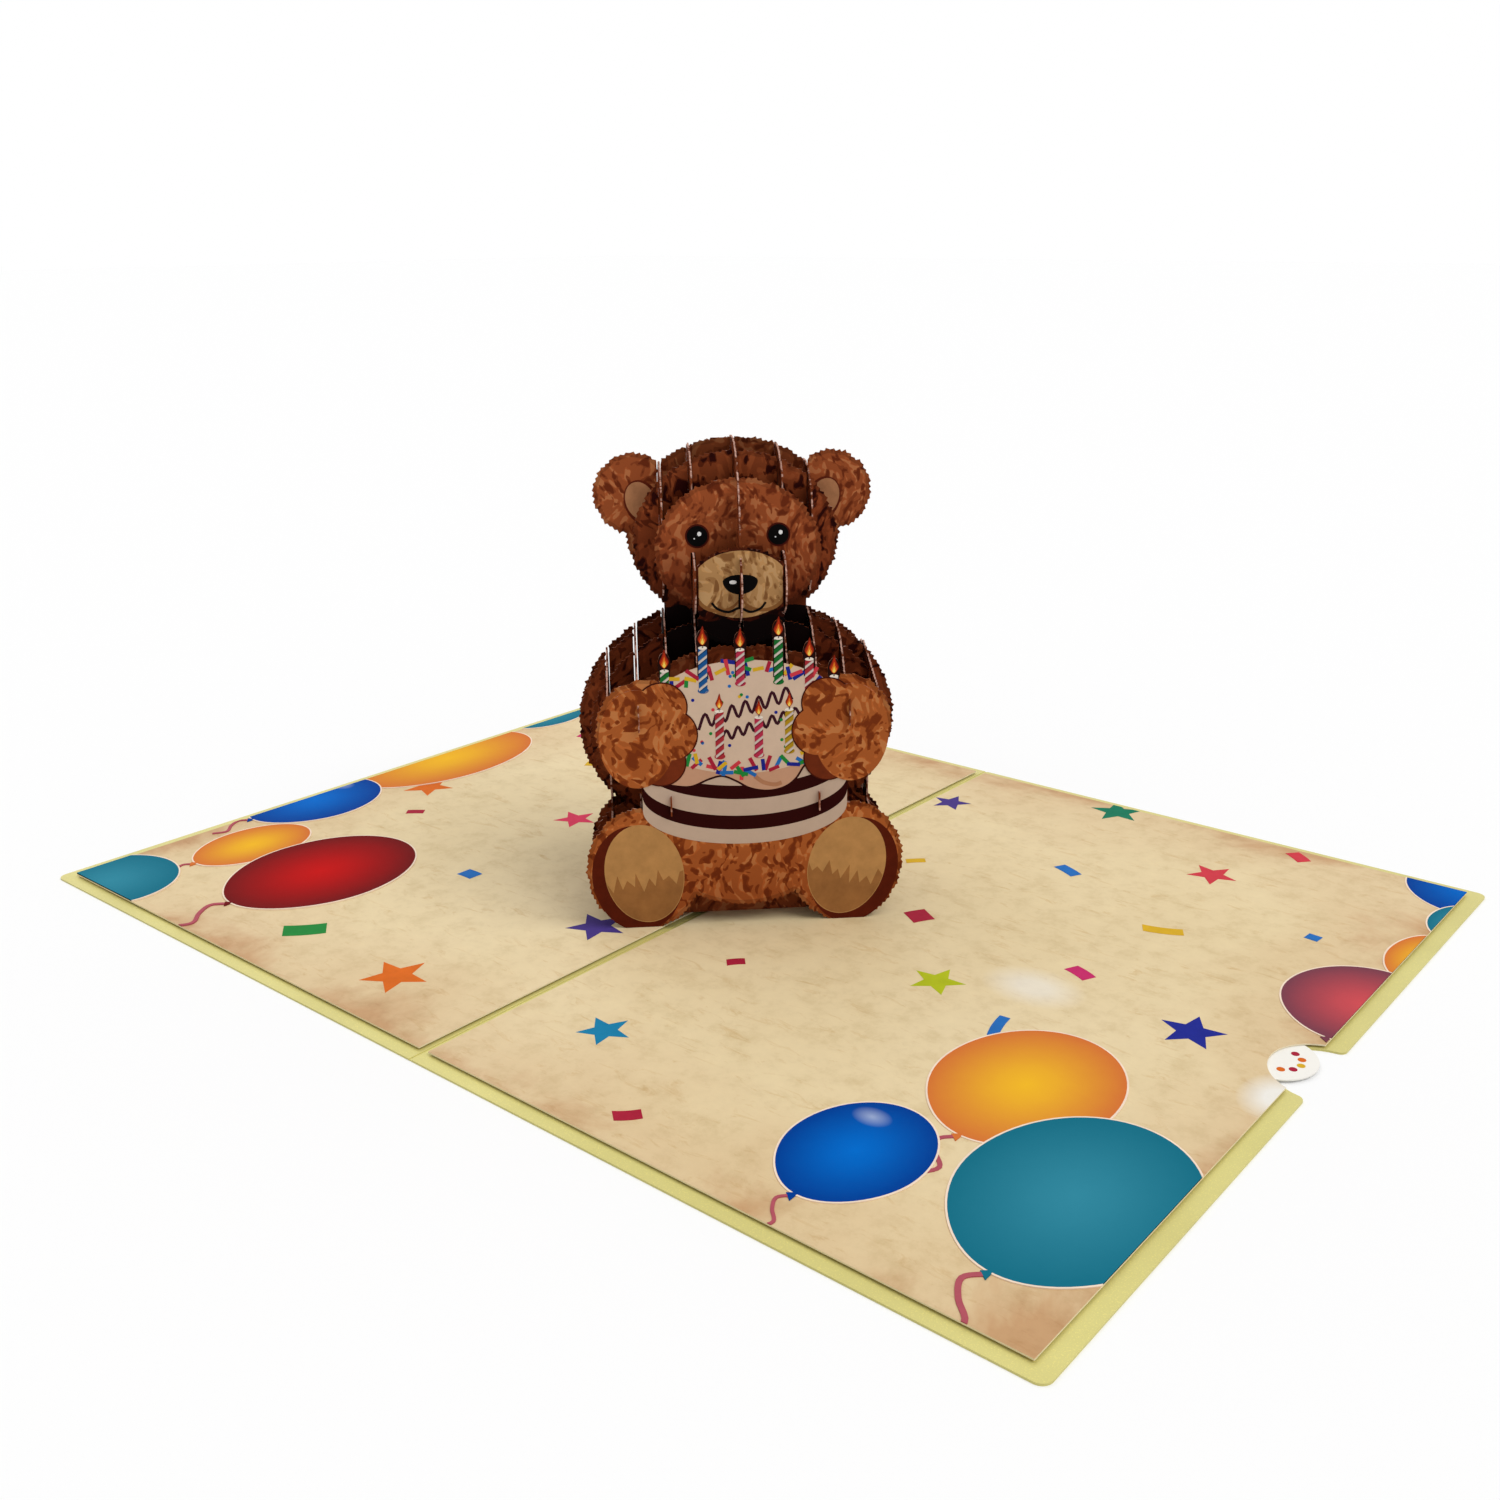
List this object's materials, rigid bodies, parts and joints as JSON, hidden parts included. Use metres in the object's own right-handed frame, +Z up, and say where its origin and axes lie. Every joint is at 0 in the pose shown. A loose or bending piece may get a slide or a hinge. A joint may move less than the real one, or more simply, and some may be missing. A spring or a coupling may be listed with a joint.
{
  "type": "pop up card",
  "caption": "Pop up card lying open: a folded cover with printed pages, a seated bear of interlocked paper slices holding a cake, and a message card that slides out of a pocket.",
  "frame": {"origin": "centre of the open card's underside, under the middle of the fold", "axes": "+X across the open card towards the leaf with the message card, +Y along the fold away from the viewer, +Z up from the table"},
  "size_m": [0.26, 0.196, 0.1012],
  "materials": {
    "cover_card": "pearlescent",
    "page_print": "printed matt",
    "strip_paper": "matt",
    "message_paper": "matt",
    "fur_print": "printed matt",
    "front_print": "printed matt"
  },
  "bodies": {
    "card": {"cover": "cover_card", "left_page": "page_print", "right_page": "page_print", "left_page_strips": "strip_paper", "right_page_strips": "strip_paper", "front_slice": "front_print", "belly_slice": "fur_print", "chest_slice": "fur_print", "muzzle_slice": "fur_print", "face_slice": "fur_print", "brow_slice": "fur_print", "ear_slice": "fur_print", "back_slice": "fur_print", "left_outer_slice": "fur_print", "left_leg_slice": "fur_print", "left_middle_slice": "fur_print", "left_inner_slice": "fur_print", "spine_slice": "fur_print", "right_inner_slice": "fur_print", "right_middle_slice": "fur_print", "right_leg_slice": "fur_print", "right_outer_slice": "fur_print", "left_cheek_slice": "fur_print", "right_cheek_slice": "fur_print"},
    "message": {"message_card": "message_paper"}
  },
  "joints": [
    {"name": "message_pull", "type": "slide", "parent": "card", "child": "message", "axis": [1, 0, 0], "range_m": [0, 0.055]}
  ]
}
